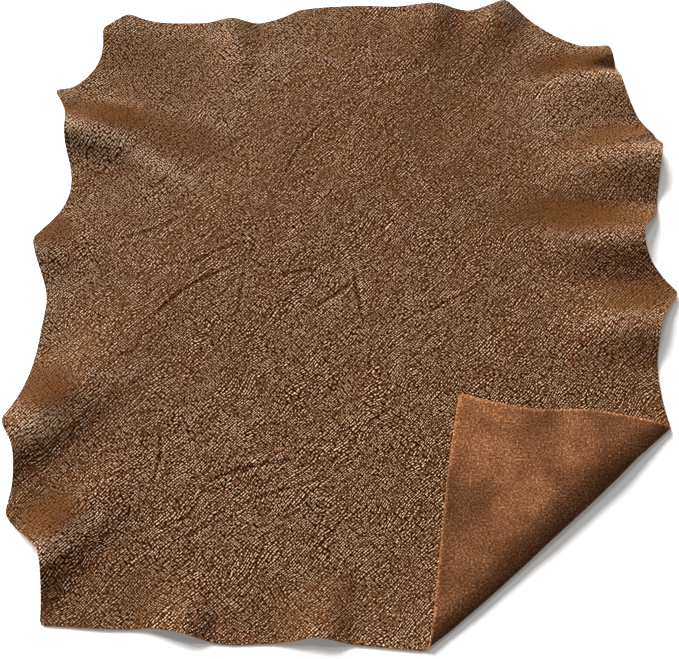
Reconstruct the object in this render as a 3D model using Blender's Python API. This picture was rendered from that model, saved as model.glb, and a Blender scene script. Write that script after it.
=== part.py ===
"""A whole leather hide, lying grain side up, with one corner folded over.

The hide is one cut sheet. Its rim swings in and out between small spurs, the rim rises
off the ground in soft ripples, and one corner is turned over a loose roll, so that its
flesh side shows. Metres, +Z up, +Y away from the viewer, origin under the middle.

The sheet is first laid out as a flat cut in X and Y. Two things then shape it: ridges
that run in from the rim, and the roll that carries the corner over.
"""

import math
from collections import namedtuple

import bpy
import numpy as np
from mathutils import Vector
from mathutils.geometry import delaunay_2d_cdt

THICKNESS = 0.002
FLAP_GAP = 0.001

# Spurs and bays of the flat cut, clockwise from the spur at the left. Each side runs to
# the next point, drawn in from its chord by near_bow and far_bow at its two thirds.
RimPoint = namedtuple("RimPoint", "x y near_bow far_bow")
RIM = [
    RimPoint(-0.363, 0.288, 0.028, 0.030),
    RimPoint(-0.308, 0.385, 0.005, 0.000),
    RimPoint(-0.276, 0.409, 0.017, 0.003),
    RimPoint(-0.143, 0.3965, 0.014, 0.010),
    RimPoint(-0.058, 0.415, -0.011, -0.002),
    RimPoint(0.110, 0.419, -0.001, 0.000),
    RimPoint(0.150, 0.4125, 0.008, 0.004),
    RimPoint(0.206, 0.4245, 0.006, 0.0325),
    RimPoint(0.337, 0.3595, 0.010, 0.020),
    RimPoint(0.396, 0.212, 0.005, 0.002),
    RimPoint(0.382, 0.120, -0.003, 0.002),
    RimPoint(0.363, 0.090, 0.019, 0.005),
    RimPoint(0.401, 0.009, 0.031, 0.019),
    RimPoint(0.376, -0.150, -0.005, -0.007),
    RimPoint(0.400, -0.280, 0.004, 0.009),
    RimPoint(0.413, -0.428, -0.009, -0.010),
    RimPoint(0.060, -0.427, 0.000, -0.001),
    RimPoint(-0.036, -0.417, -0.003, 0.000),
    RimPoint(-0.110, -0.422, -0.009, 0.001),
    RimPoint(-0.220, -0.404, -0.004, 0.000),
    RimPoint(-0.340, -0.400, 0.001, 0.003),
    RimPoint(-0.344, -0.321, 0.006, -0.005),
    RimPoint(-0.388, -0.268, 0.003, 0.004),
    RimPoint(-0.382, -0.200, 0.006, -0.003),
    RimPoint(-0.397, -0.159, 0.019, 0.006),
    RimPoint(-0.357, -0.010, 0.011, -0.004),
    RimPoint(-0.377, 0.081, 0.006, 0.017),
    RimPoint(-0.336, 0.165, 0.003, -0.004),
    RimPoint(-0.347, 0.232, 0.010, 0.006),
]
CORNER_SOFTNESS = 0.004

# Ridges of the ripples. Each runs in from the rim, highest there, and dies out at its
# inner end. Its crest bows to the left by bend at half way. Left and right are its half
# widths, seen from the rim looking in.
Ridge = namedtuple("Ridge", "name rim_x rim_y in_x in_y bend height left right")
RIDGES = [
    Ridge("north_west_spur", -0.300, 0.392, -0.225, 0.330, 0.000, 0.007, 0.045, 0.045),
    Ridge("north_west", -0.142, 0.400, -0.130, 0.290, 0.000, 0.012, 0.034, 0.036),
    Ridge("north", 0.120, 0.420, 0.088, 0.305, 0.000, 0.013, 0.044, 0.056),
    Ridge("north_east", 0.202, 0.428, 0.150, 0.305, 0.000, 0.013, 0.046, 0.056),
    Ridge("east_fold", 0.344, 0.347, 0.240, 0.310, 0.000, 0.009, 0.018, 0.030),
    Ridge("east_high", 0.358, 0.303, 0.220, 0.270, -0.023, 0.014, 0.066, 0.022),
    Ridge("east_tuck", 0.386, 0.232, 0.285, 0.207, 0.004, 0.006, 0.013, 0.030),
    Ridge("east_upper", 0.400, 0.186, 0.235, 0.125, -0.033, 0.021, 0.066, 0.050),
    Ridge("east_middle", 0.378, 0.090, 0.180, 0.128, 0.018, 0.020, 0.062, 0.046),
    Ridge("east_lower", 0.388, -0.038, 0.225, -0.055, -0.014, 0.018, 0.060, 0.060),
    Ridge("south", -0.025, -0.420, -0.021, -0.325, 0.000, 0.012, 0.058, 0.036),
    Ridge("south_west", -0.180, -0.407, -0.168, -0.325, 0.000, 0.012, 0.062, 0.036),
    Ridge("west_low", -0.346, -0.322, -0.222, -0.200, 0.007, 0.018, 0.052, 0.056),
    Ridge("west_middle", -0.396, -0.178, -0.225, 0.000, -0.013, 0.021, 0.070, 0.056),
    Ridge("west_upper", -0.380, 0.068, -0.285, 0.100, 0.000, 0.011, 0.048, 0.056),
    Ridge("west_high", -0.352, 0.236, -0.180, 0.150, 0.026, 0.021, 0.060, 0.044),
    Ridge("west_spur", -0.358, 0.285, -0.300, 0.272, 0.000, 0.006, 0.020, 0.028),
]
CREST_SOFTNESS = 0.40
SLOPE_POWER = 1.5

# The corner is turned over the line between these two places on the rim, across which
# it lies mirrored.
FOLD_EAST_END = (0.371, -0.1715)
FOLD_SOUTH_END = (0.095, -0.422)

# Sections of the roll, from its east end to its south end. Radius is that of its tight
# round, and shift is how far the fold line there lies outside the straight one. Behind
# the tight round the roll's top is TOP_SHARE times as wide, and then slopes down.
FoldSection = namedtuple("FoldSection", "along radius shift")
FOLD_SECTIONS = [
    FoldSection(0.00, 0.0040, 0.0030),
    FoldSection(0.12, 0.0072, 0.0062),
    FoldSection(0.22, 0.0085, 0.0096),
    FoldSection(0.36, 0.0080, 0.0106),
    FoldSection(0.50, 0.0072, 0.0104),
    FoldSection(0.66, 0.0060, 0.0103),
    FoldSection(0.80, 0.0050, 0.0096),
    FoldSection(0.93, 0.0045, 0.0077),
    FoldSection(1.00, 0.0048, 0.0060),
]
ROUND_ANGLE = math.radians(150)
TOP_SHARE = 6.5
SETTLE_ANGLE = math.radians(15)
SETTLE_RADIUS = 0.060

# Places where the turned corner lifts off the grain below it, given on the flat cut.
Lift = namedtuple("Lift", "name x y radius height")
FLAP_LIFTS = [
    Lift("tip", 0.394, -0.408, 0.070, 0.0030),
    Lift("upper_edge", 0.386, -0.290, 0.055, 0.0020),
    Lift("left_edge", 0.200, -0.420, 0.060, 0.0025),
]

# Spacing of the mesh's points on the flat cut, and how far they keep from the rim.
RIM_CURVE_STEP = 0.001
RIM_STEP = 0.009
ROLL_RIM_STEPS = 6
RIPPLE_STEP = 0.013
RIPPLE_TO_RIM = 0.0045
FLAT_STEP = 0.030
FLAT_TO_RIM = 0.009
ROLL_STEPS = 9
ROLL_LENGTH_STEP = 0.013
ROLL_TO_RIM = 0.0018
SETTLE_STEP = 0.010
BEFORE_ROLL = 0.018
AFTER_SETTLE = 0.008
SAME_POINT = 1e-7

GRAIN_BROWN = (0.195, 0.085, 0.032)
GRAIN_ROUGHNESS = 0.5


def fold_frame():
    """The fold line's east end, its direction, its outward side and its length."""
    east = np.array(FOLD_EAST_END)
    run = np.array(FOLD_SOUTH_END) - east
    length = float(np.hypot(*run))
    along = run / length
    outward = np.array([-along[1], along[0]])
    return east, along, outward, length


def roll_section(along):
    """Radius and shift of the roll at each share of the way along it."""
    shares = [section.along for section in FOLD_SECTIONS]
    radius = np.interp(along, shares, [section.radius for section in FOLD_SECTIONS])
    shift = np.interp(along, shares, [section.shift for section in FOLD_SECTIONS])
    return radius, shift


def roll_parts(radius):
    """Length, first angle and last angle of each part of the roll's section.

    The face turns up round the tight part and over the wide top until it slopes down
    by SETTLE_ANGLE, runs straight, and turns back until it lies level on the grain.
    """
    down = math.pi + SETTLE_ANGLE
    top = TOP_SHARE * radius
    rise = radius * (1 - math.cos(ROUND_ANGLE))
    rise = rise + top * (math.cos(ROUND_ANGLE) - math.cos(down))
    lying = 2 * THICKNESS + FLAP_GAP
    last_drop = SETTLE_RADIUS * (1 - math.cos(SETTLE_ANGLE))
    slope = np.maximum(rise - lying - last_drop, 0.0) / math.sin(SETTLE_ANGLE)
    return [
        (radius * ROUND_ANGLE, 0.0, ROUND_ANGLE),
        (top * (down - ROUND_ANGLE), ROUND_ANGLE, down),
        (slope, down, down),
        (SETTLE_RADIUS * SETTLE_ANGLE, down, math.pi),
    ]


def round_length(radius):
    """Length of the roll's tight round."""
    return radius * ROUND_ANGLE


def settled_length(radius):
    """Length from the start of the roll to where the corner lies level."""
    return sum(length for length, _, _ in roll_parts(radius))


def roll_profile(distance, radius):
    """Way out and height of the flesh face, at a distance past the start of the roll."""
    out = 0 * distance
    height = 0 * distance
    begin = 0 * distance
    for length, first, last in roll_parts(radius):
        gone = np.clip(distance - begin, 0.0, length)
        if first == last:
            out = out + gone * math.cos(first)
            height = height + gone * math.sin(first)
        else:
            bend = length / (last - first)
            angle = first + gone / bend
            out = out + bend * (np.sin(angle) - math.sin(first))
            height = height + bend * (math.cos(first) - np.cos(angle))
        begin = begin + length
    return out - np.maximum(distance - begin, 0.0), height


def roll_start(radius, shift):
    """Place across the fold line where the face leaves the ground, so that the corner
    beyond the roll lies mirrored in the fold line."""
    far = settled_length(radius)
    out, _ = roll_profile(far, radius)
    return shift - (out + far) / 2


def over_roll(points):
    """Distance past the start of the roll for points of the flat cut, and its radius."""
    east, along, outward, length = fold_frame()
    radius, shift = roll_section(np.clip((points - east) @ along / length, 0.0, 1.0))
    return (points - east) @ outward - roll_start(radius, shift), radius


def crest_profile(across):
    """Share of a ridge's height at a share of its half width: round on its crest."""
    top = math.hypot(1.0, CREST_SOFTNESS)
    off_crest = np.hypot(np.clip(across, -1.0, 1.0), CREST_SOFTNESS)
    return ((top - off_crest) / (top - CREST_SOFTNESS)) ** SLOPE_POWER


def ridge_height(x, y):
    """Height of the flesh face over the ground from all the ridges."""
    height = np.zeros_like(x)
    for ridge in RIDGES:
        run = np.array([ridge.in_x - ridge.rim_x, ridge.in_y - ridge.rim_y])
        length = np.hypot(*run)
        run = run / length
        inward = ((x - ridge.rim_x) * run[0] + (y - ridge.rim_y) * run[1]) / length
        side = (y - ridge.rim_y) * run[0] - (x - ridge.rim_x) * run[1]
        inward = np.clip(inward, 0.0, 1.0)
        side = side - ridge.bend * 4 * inward * (1 - inward)
        width = np.where(side > 0, ridge.left, ridge.right)
        fade = np.cos(0.5 * math.pi * inward) ** 2
        height = height + ridge.height * fade * crest_profile(side / width)
    return height


def flap_lift(x, y):
    """Extra height of the turned corner where it stands off the grain."""
    height = np.zeros_like(x)
    for lift in FLAP_LIFTS:
        reach = np.hypot(x - lift.x, y - lift.y) / lift.radius
        height = height + lift.height * np.cos(0.5 * math.pi * np.clip(reach, 0, 1)) ** 2
    return height


def lay_out(cut):
    """Take points of the flat cut to where the flesh face lies."""
    _, _, outward, _ = fold_frame()
    distance, radius = over_roll(cut)
    distance = np.maximum(distance, 0.0)
    out, height = roll_profile(distance, radius)
    plan = cut + outward * (out - distance)[:, None]
    turned = np.clip(distance / round_length(radius) - 1.0, 0.0, 1.0)
    height = height + turned * flap_lift(cut[:, 0], cut[:, 1])
    height = height + ridge_height(cut[:, 0], cut[:, 1])
    return np.column_stack([plan, height])


def rim_side(point, following, count):
    """Points of one side of the rim, a cubic curve drawn in by its two bows."""
    start = np.array([point.x, point.y])
    chord = np.array([following.x, following.y]) - start
    inward = np.array([chord[1], -chord[0]]) / np.hypot(*chord)
    near = start + chord / 3 + inward * point.near_bow
    far = start + chord * 2 / 3 + inward * point.far_bow
    t = np.linspace(0.0, 1.0, count, endpoint=False)[:, None]
    curve = (1 - t) ** 3 * start + 3 * (1 - t) ** 2 * t * near
    return curve + 3 * (1 - t) * t**2 * far + t**3 * (start + chord)


def soft_rim():
    """The whole rim, closely and evenly stepped, with its corners worn round."""
    sides = []
    for index, point in enumerate(RIM):
        following = RIM[(index + 1) % len(RIM)]
        reach = math.hypot(following.x - point.x, following.y - point.y)
        sides.append(rim_side(point, following, round(reach / RIM_CURVE_STEP)))
    rim = np.vstack(sides)
    for _ in range(round(2 * (CORNER_SOFTNESS / RIM_CURVE_STEP) ** 2)):
        rim = (np.roll(rim, 1, axis=0) + 2 * rim + np.roll(rim, -1, axis=0)) / 4
    return rim


def stepped_rim():
    """The rim with a point every RIM_STEP, and closer ones where it goes over the roll."""
    rim = soft_rim()
    distance, radius = over_roll(rim)
    on_roll = (distance > -ROLL_TO_RIM) & (distance < round_length(radius))
    steps = np.where(on_roll, round_length(radius) / ROLL_RIM_STEPS, RIM_STEP)
    chosen = [0]
    for index in range(1, len(rim)):
        if np.hypot(*(rim[index] - rim[chosen[-1]])) >= steps[index]:
            chosen.append(index)
    return rim[chosen]


def spread(step, rim):
    """Evenly spread points over the rim's box, rows staggered."""
    low = rim.min(axis=0)
    high = rim.max(axis=0)
    x = np.arange(low[0], high[0], step)
    rows = []
    for row, y in enumerate(np.arange(low[1], high[1], step * math.sqrt(3) / 2)):
        rows.append(np.column_stack([x + step / 2 * (row % 2), np.full_like(x, y)]))
    return np.vstack(rows)


def roll_rows():
    """Points in rows along the roll and down the slope behind it."""
    east, along, outward, length = fold_frame()
    rows = []
    for place in np.arange(-SETTLE_STEP, length + SETTLE_STEP, ROLL_LENGTH_STEP):
        radius, shift = roll_section(np.clip(place / length, 0.0, 1.0))
        roll = round_length(radius)
        settled = settled_length(radius)
        slope_count = math.ceil((settled - roll) / SETTLE_STEP)
        distances = np.concatenate(
            [
                [-SETTLE_STEP],
                np.linspace(0.0, roll, ROLL_STEPS + 1),
                np.linspace(roll, settled, slope_count + 1)[1:],
            ]
        )
        across = distances + roll_start(radius, shift)
        rows.append(east + along * place + outward * across[:, None])
    return np.vstack(rows)


def near_roll(points):
    """True for points on the roll, on its slope or a little before or after them."""
    distance, radius = over_roll(points)
    settled = settled_length(radius)
    return (distance > -BEFORE_ROLL) & (distance < settled + AFTER_SETTLE)


def is_raised(points):
    """True for points of the flat cut that a ripple or a lift of the corner raises."""
    x, y = points.T
    return ridge_height(x, y) + flap_lift(x, y) > 0


def well_inside(points, rim, margin):
    """True for points inside the rim and at least a margin away from it."""
    following = np.roll(rim, -1, axis=0)
    inside = np.zeros(len(points), dtype=bool)
    clear = np.full(len(points), np.inf)
    for a, b in zip(rim, following):
        crosses = (a[1] > points[:, 1]) != (b[1] > points[:, 1])
        with np.errstate(divide="ignore", invalid="ignore"):
            at = a[0] + (points[:, 1] - a[1]) * (b[0] - a[0]) / (b[1] - a[1])
        inside ^= crosses & (points[:, 0] < at)
        edge = b - a
        share = np.clip(((points - a) @ edge) / (edge @ edge), 0.0, 1.0)
        gap = points - a - share[:, None] * edge
        clear = np.minimum(clear, np.hypot(gap[:, 0], gap[:, 1]))
    return inside & (clear > margin)


def inner_points(rim):
    """Points inside the rim: close on the ripples and the roll, wide on the flat."""
    close = spread(RIPPLE_STEP, rim)
    close = close[is_raised(close) & ~near_roll(close)]
    wide = spread(FLAT_STEP, rim)
    wide = wide[~is_raised(wide) & ~near_roll(wide)]
    rows = roll_rows()
    return np.vstack(
        [
            close[well_inside(close, rim, RIPPLE_TO_RIM)],
            wide[well_inside(wide, rim, FLAT_TO_RIM)],
            rows[well_inside(rows, rim, ROLL_TO_RIM)],
        ]
    )


def flesh_face():
    """Points and faces of the sheet's flesh face, laid out, facing the ground."""
    rim = stepped_rim()
    points = np.vstack([rim, inner_points(rim)])
    ring = list(range(len(rim)))
    vectors = [Vector(point) for point in points]
    inside_only = 1
    cut, _, faces, _, _, _ = delaunay_2d_cdt(
        vectors, [], [ring], inside_only, SAME_POINT
    )
    laid = lay_out(np.array([vertex[:] for vertex in cut]))
    return laid.tolist(), [face[::-1] for face in faces]


def leather(name, colour, roughness):
    """Leather of one colour."""
    material = bpy.data.materials.new(name)
    material.use_nodes = True
    shader = material.node_tree.nodes["Principled BSDF"]
    shader.inputs["Base Color"].default_value = (*colour, 1.0)
    shader.inputs["Roughness"].default_value = roughness
    return material


def make_hide():
    """The hide: its flesh face, given the sheet's thickness towards the grain side."""
    points, faces = flesh_face()
    mesh = bpy.data.meshes.new("hide")
    mesh.from_pydata(points, [], faces)
    mesh.materials.append(leather("brown_leather", GRAIN_BROWN, GRAIN_ROUGHNESS))
    mesh.shade_smooth()
    hide = bpy.data.objects.new("hide", mesh)
    bpy.context.collection.objects.link(hide)
    sheet = hide.modifiers.new("thickness", "SOLIDIFY")
    sheet.thickness = THICKNESS
    sheet.offset = -1.0
    sheet.use_even_offset = True
    return hide


for old in list(bpy.data.objects):
    bpy.data.objects.remove(old)
make_hide()
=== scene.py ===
import math
from collections import namedtuple

import bpy
import numpy as np
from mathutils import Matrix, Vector
from mathutils.geometry import delaunay_2d_cdt


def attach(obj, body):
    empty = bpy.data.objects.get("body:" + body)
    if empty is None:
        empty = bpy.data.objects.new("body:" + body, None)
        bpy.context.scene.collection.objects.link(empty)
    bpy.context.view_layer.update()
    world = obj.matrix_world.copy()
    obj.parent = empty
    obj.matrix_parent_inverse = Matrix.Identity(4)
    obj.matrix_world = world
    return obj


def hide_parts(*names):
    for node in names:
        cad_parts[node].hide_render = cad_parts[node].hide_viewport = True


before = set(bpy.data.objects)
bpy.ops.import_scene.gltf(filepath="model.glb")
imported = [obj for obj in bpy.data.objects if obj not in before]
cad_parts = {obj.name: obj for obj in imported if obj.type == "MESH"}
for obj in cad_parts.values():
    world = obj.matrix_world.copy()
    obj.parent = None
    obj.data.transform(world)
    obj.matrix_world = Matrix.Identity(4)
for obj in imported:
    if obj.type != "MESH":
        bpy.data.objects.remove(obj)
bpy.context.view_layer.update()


# Camera. A long lens looks down on the hide from the side of its turned corner: high
# enough to show the whole grain side, and low enough to show the ripples of its rim.
LENS_MM = 106.9
CAMERA_ELEVATION = math.radians(65)
CAMERA_DISTANCE = 2.4
CAMERA_TARGET = Vector((-0.0059, -0.0357, 0.0))

camera = bpy.data.objects.new("camera", bpy.data.cameras.new("camera"))
bpy.context.collection.objects.link(camera)
camera.data.lens = LENS_MM
camera.location = CAMERA_TARGET + CAMERA_DISTANCE * Vector(
    (0.0, -math.cos(CAMERA_ELEVATION), math.sin(CAMERA_ELEVATION))
)
camera.rotation_euler = (math.pi / 2 - CAMERA_ELEVATION, 0.0, 0.0)
bpy.context.scene.camera = camera


# Hide. One whole skin of full-grain leather, 2 mm thick, lying grain side up with one
# corner turned over. It is laid out as a flat cut, whose rim swings between small spurs,
# and then rippled, rolled over at the corner, and creased where the skin grew.
THICKNESS = 0.002

# Spurs and bays of the flat cut, clockwise from the spur at the left. Each side runs to
# the next point, drawn in from its chord by near_bow and far_bow at its two thirds, and
# the corners between the sides are then worn round over CORNER_SOFTNESS.
RimPoint = namedtuple("RimPoint", "x y near_bow far_bow")
RIM = [
    RimPoint(-0.363, 0.288, 0.028, 0.030),
    RimPoint(-0.308, 0.385, 0.005, 0.000),
    RimPoint(-0.276, 0.409, 0.017, 0.003),
    RimPoint(-0.143, 0.3965, 0.014, 0.010),
    RimPoint(-0.058, 0.415, -0.011, -0.002),
    RimPoint(0.110, 0.419, -0.001, 0.000),
    RimPoint(0.150, 0.4125, 0.008, 0.004),
    RimPoint(0.206, 0.4245, 0.006, 0.0325),
    RimPoint(0.337, 0.3595, 0.010, 0.020),
    RimPoint(0.396, 0.212, 0.005, 0.002),
    RimPoint(0.382, 0.120, -0.003, 0.002),
    RimPoint(0.363, 0.090, 0.019, 0.005),
    RimPoint(0.401, 0.009, 0.031, 0.019),
    RimPoint(0.376, -0.150, -0.005, -0.007),
    RimPoint(0.400, -0.280, 0.004, 0.009),
    RimPoint(0.413, -0.428, -0.009, -0.010),
    RimPoint(0.060, -0.427, 0.000, -0.001),
    RimPoint(-0.036, -0.417, -0.003, 0.000),
    RimPoint(-0.110, -0.422, -0.009, 0.001),
    RimPoint(-0.220, -0.404, -0.004, 0.000),
    RimPoint(-0.340, -0.400, 0.001, 0.003),
    RimPoint(-0.344, -0.321, 0.006, -0.005),
    RimPoint(-0.388, -0.268, 0.003, 0.004),
    RimPoint(-0.382, -0.200, 0.006, -0.003),
    RimPoint(-0.397, -0.159, 0.019, 0.006),
    RimPoint(-0.357, -0.010, 0.011, -0.004),
    RimPoint(-0.377, 0.081, 0.006, 0.017),
    RimPoint(-0.336, 0.165, 0.003, -0.004),
    RimPoint(-0.347, 0.232, 0.010, 0.006),
]
CORNER_SOFTNESS = 0.004

# Ridges of the ripples. Each runs in from the rim, highest there, and dies out at its
# inner end. Its crest bows to the left by bend at half way. Left and right are its half
# widths, seen from the rim looking in. CREST_SOFTNESS is the round of a crest as a share
# of a half width, and a higher SLOPE_POWER makes the slopes run out more softly.
Ridge = namedtuple("Ridge", "name rim_x rim_y in_x in_y bend height left right")
RIDGES = [
    Ridge("north_west_spur", -0.300, 0.392, -0.225, 0.330, 0.000, 0.007, 0.045, 0.045),
    Ridge("north_west", -0.142, 0.400, -0.130, 0.290, 0.000, 0.012, 0.034, 0.036),
    Ridge("north", 0.120, 0.420, 0.088, 0.305, 0.000, 0.013, 0.044, 0.056),
    Ridge("north_east", 0.202, 0.428, 0.150, 0.305, 0.000, 0.013, 0.046, 0.056),
    Ridge("east_fold", 0.344, 0.347, 0.240, 0.310, 0.000, 0.009, 0.018, 0.030),
    Ridge("east_high", 0.358, 0.303, 0.220, 0.270, -0.023, 0.014, 0.066, 0.022),
    Ridge("east_tuck", 0.386, 0.232, 0.285, 0.207, 0.004, 0.006, 0.013, 0.030),
    Ridge("east_upper", 0.400, 0.186, 0.235, 0.125, -0.033, 0.021, 0.066, 0.050),
    Ridge("east_middle", 0.378, 0.090, 0.180, 0.128, 0.018, 0.020, 0.062, 0.046),
    Ridge("east_lower", 0.388, -0.038, 0.225, -0.055, -0.014, 0.018, 0.060, 0.060),
    Ridge("south", -0.025, -0.420, -0.021, -0.325, 0.000, 0.012, 0.058, 0.036),
    Ridge("south_west", -0.180, -0.407, -0.168, -0.325, 0.000, 0.012, 0.062, 0.036),
    Ridge("west_low", -0.346, -0.322, -0.222, -0.200, 0.007, 0.018, 0.052, 0.056),
    Ridge("west_middle", -0.396, -0.178, -0.225, 0.000, -0.013, 0.021, 0.070, 0.056),
    Ridge("west_upper", -0.380, 0.068, -0.285, 0.100, 0.000, 0.011, 0.048, 0.056),
    Ridge("west_high", -0.352, 0.236, -0.180, 0.150, 0.026, 0.021, 0.060, 0.044),
    Ridge("west_spur", -0.358, 0.285, -0.300, 0.272, 0.000, 0.006, 0.020, 0.028),
]
CREST_SOFTNESS = 0.40
SLOPE_POWER = 1.5

# The corner is turned over the line between these two places on the rim, across which
# it lies mirrored, FLAP_GAP above the grain.
FOLD_EAST_END = (0.371, -0.1715)
FOLD_SOUTH_END = (0.095, -0.422)
FLAP_GAP = 0.001

# Sections of the roll, from its east end to its south end. Radius is that of its tight
# round, and shift is how far the fold line there lies outside the straight one. Behind
# the tight round the roll's top is TOP_SHARE times as wide, and then slopes down.
FoldSection = namedtuple("FoldSection", "along radius shift")
FOLD_SECTIONS = [
    FoldSection(0.00, 0.0040, 0.0030),
    FoldSection(0.12, 0.0072, 0.0062),
    FoldSection(0.22, 0.0085, 0.0096),
    FoldSection(0.36, 0.0080, 0.0106),
    FoldSection(0.50, 0.0072, 0.0104),
    FoldSection(0.66, 0.0060, 0.0103),
    FoldSection(0.80, 0.0050, 0.0096),
    FoldSection(0.93, 0.0045, 0.0077),
    FoldSection(1.00, 0.0048, 0.0060),
]
ROUND_ANGLE = math.radians(150)
TOP_SHARE = 6.5
SETTLE_ANGLE = math.radians(15)
SETTLE_RADIUS = 0.060

# Places where the turned corner lifts off the grain below it, given on the flat cut.
Lift = namedtuple("Lift", "name x y radius height")
FLAP_LIFTS = [
    Lift("tip", 0.394, -0.408, 0.070, 0.0030),
    Lift("upper_edge", 0.386, -0.290, 0.055, 0.0020),
    Lift("left_edge", 0.200, -0.420, 0.060, 0.0025),
]

# Broad, faint waves of a skin that doesn't lie quite flat, given where it lies.
Wave = namedtuple("Wave", "height length_x length_y phase")
WAVES = [
    Wave(0.0004, 0.210, 0.150, 0.4),
    Wave(0.0003, -0.120, 0.170, 2.1),
    Wave(0.0002, 0.085, 0.095, 4.0),
]

# Growth creases of the grain side. Each is a soft trough along its route on the flat
# cut, deepest halfway, with the skin a little swollen on both sides. How far it reaches
# and where it swells are given in its own widths.
Crease = namedtuple("Crease", "name depth width route")
CREASES = [
    Crease("upper_left_short", 0.0004, 0.0020, [(-0.241, 0.153), (-0.227, 0.162), (-0.215, 0.172)]),
    Crease("upper_left_long", 0.0004, 0.0020, [(-0.282, 0.081), (-0.237, 0.097), (-0.198, 0.117)]),
    Crease("left_of_middle", 0.0005, 0.0022, [(-0.186, 0.050), (-0.145, 0.073), (-0.115, 0.082)]),
    Crease("left_long", 0.0006, 0.0024, [(-0.240, -0.032), (-0.189, 0.019), (-0.126, 0.053)]),
    Crease("left_upright", 0.0004, 0.0020, [(-0.129, -0.020), (-0.123, 0.029), (-0.121, 0.049)]),
    Crease("upper_slant", 0.0004, 0.0020, [(-0.189, 0.186), (-0.152, 0.210), (-0.106, 0.241)]),
    Crease("upper_cross", 0.0003, 0.0020, [(-0.104, 0.167), (-0.094, 0.153), (-0.081, 0.132)]),
    Crease("top_long", 0.0004, 0.0020, [(-0.077, 0.171), (-0.054, 0.214), (-0.018, 0.262)]),
    Crease("top_right_steep", 0.0003, 0.0020, [(0.035, 0.216), (0.051, 0.243), (0.074, 0.267)]),
    Crease("top_right_flat", 0.0003, 0.0020, [(0.019, 0.175), (0.051, 0.209), (0.083, 0.238)]),
    Crease("middle_level", 0.0005, 0.0022, [(-0.086, 0.032), (-0.054, 0.041), (-0.021, 0.040)]),
    Crease("middle_upright", 0.0005, 0.0022, [(0.012, 0.048), (0.015, 0.013), (0.024, -0.036)]),
    Crease("middle_slant", 0.0005, 0.0022, [(-0.044, -0.014), (-0.010, 0.011), (0.016, 0.030)]),
    Crease("left_low_hook", 0.0004, 0.0020, [(-0.268, -0.073), (-0.248, -0.063), (-0.242, -0.045)]),
    Crease("low_left_upright", 0.0005, 0.0022, [(-0.217, -0.163), (-0.214, -0.200), (-0.226, -0.246)]),
    Crease("low_left_rise", 0.0005, 0.0022, [(-0.212, -0.287), (-0.178, -0.269), (-0.160, -0.233)]),
    Crease("low_long", 0.0006, 0.0024, [(-0.160, -0.233), (-0.121, -0.214), (-0.056, -0.203)]),
    Crease("low_second", 0.0004, 0.0020, [(-0.200, -0.306), (-0.160, -0.285), (-0.131, -0.272)]),
    Crease("left_level", 0.0004, 0.0020, [(-0.258, -0.151), (-0.239, -0.144), (-0.215, -0.142)]),
    Crease("right_upright", 0.0004, 0.0020, [(0.032, -0.057), (0.029, -0.087), (0.036, -0.119)]),
    Crease("right_slant", 0.0004, 0.0020, [(0.006, -0.174), (0.032, -0.154), (0.057, -0.136)]),
    Crease("low_third", 0.0005, 0.0022, [(-0.120, -0.257), (-0.078, -0.242), (-0.021, -0.224)]),
    Crease("right_long", 0.0004, 0.0020, [(0.090, -0.018), (0.126, 0.002), (0.161, 0.022)]),
    Crease("low_right_rise", 0.0004, 0.0020, [(-0.051, -0.324), (-0.017, -0.294), (0.008, -0.258)]),
]
CREASE_STEP = 0.004
CREASE_REACH = 3.2
CREASE_FADE_POWER = 0.7
DEEP_CREASE = 0.0005
SWELL_PLACE = 2.0
SWELL_SHARE = 0.35

# Areas on the flat cut, as ellipses with soft edges: where the grain is smooth and warm, the skin's
# warmer tone, but painted light where these lie on the lit upper slopes of the ripples; where the skin
# is thick and its grain coarse; where the crests carry a painted highlight; and where the nap of the
# turned corner is paler, most at its tip.
Area = namedtuple("Area", "name x y half_x half_y turn amount")
WARM_SMOOTH_AND_LIT = [
    Area("west_high_slope", -0.294, 0.254, 0.066, 0.022, -12, 1.00),
    Area("west_high_foot", -0.212, 0.232, 0.080, 0.026, -22, 0.80),
    Area("west_side", -0.306, 0.140, 0.060, 0.055, 0, 0.35),
    Area("west_spur", -0.335, 0.283, 0.030, 0.020, 0, 0.60),
    Area("north_west", -0.240, 0.326, 0.090, 0.055, -20, 0.58),
    Area("north", -0.030, 0.395, 0.120, 0.030, 3, 0.38),
    Area("upper_right", 0.120, 0.236, 0.085, 0.075, 0, 0.36),
    Area("north_bay", 0.130, 0.375, 0.055, 0.045, 0, 0.38),
    Area("upper_left", -0.150, 0.235, 0.100, 0.070, 0, 0.25),
    Area("east_edge", 0.330, 0.150, 0.060, 0.200, 0, 0.25),
    Area("east_high_strip", 0.292, 0.334, 0.062, 0.018, 8, 1.00),
    Area("east_upper_strip", 0.335, 0.226, 0.056, 0.018, 10, 0.90),
    Area("east_middle_strip", 0.280, 0.114, 0.088, 0.030, -6, 1.00),
    Area("east_lower_spur", 0.356, 0.006, 0.046, 0.026, 10, 0.90),
    Area("west_upper_spur", -0.358, 0.095, 0.032, 0.022, 10, 0.90),
    Area("west_middle_slope", -0.350, -0.116, 0.032, 0.036, 40, 1.00),
    Area("west_low_slope", -0.334, -0.272, 0.036, 0.030, 35, 1.00),
    Area("south_west_bay", -0.228, -0.362, 0.048, 0.034, 0, 0.40),
    Area("south_bay", -0.038, -0.372, 0.046, 0.028, 0, 0.40),
]
COARSE = [
    Area("middle", 0.000, -0.030, 0.300, 0.200, 25, 0.80),
    Area("low", -0.090, -0.230, 0.300, 0.170, 20, 1.00),
    Area("below_fold", 0.230, -0.120, 0.150, 0.140, 0, 0.80),
    Area("top", 0.060, 0.290, 0.170, 0.090, 30, 0.55),
    Area("east_middle", 0.300, 0.050, 0.100, 0.050, 0, 0.60),
]
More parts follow.
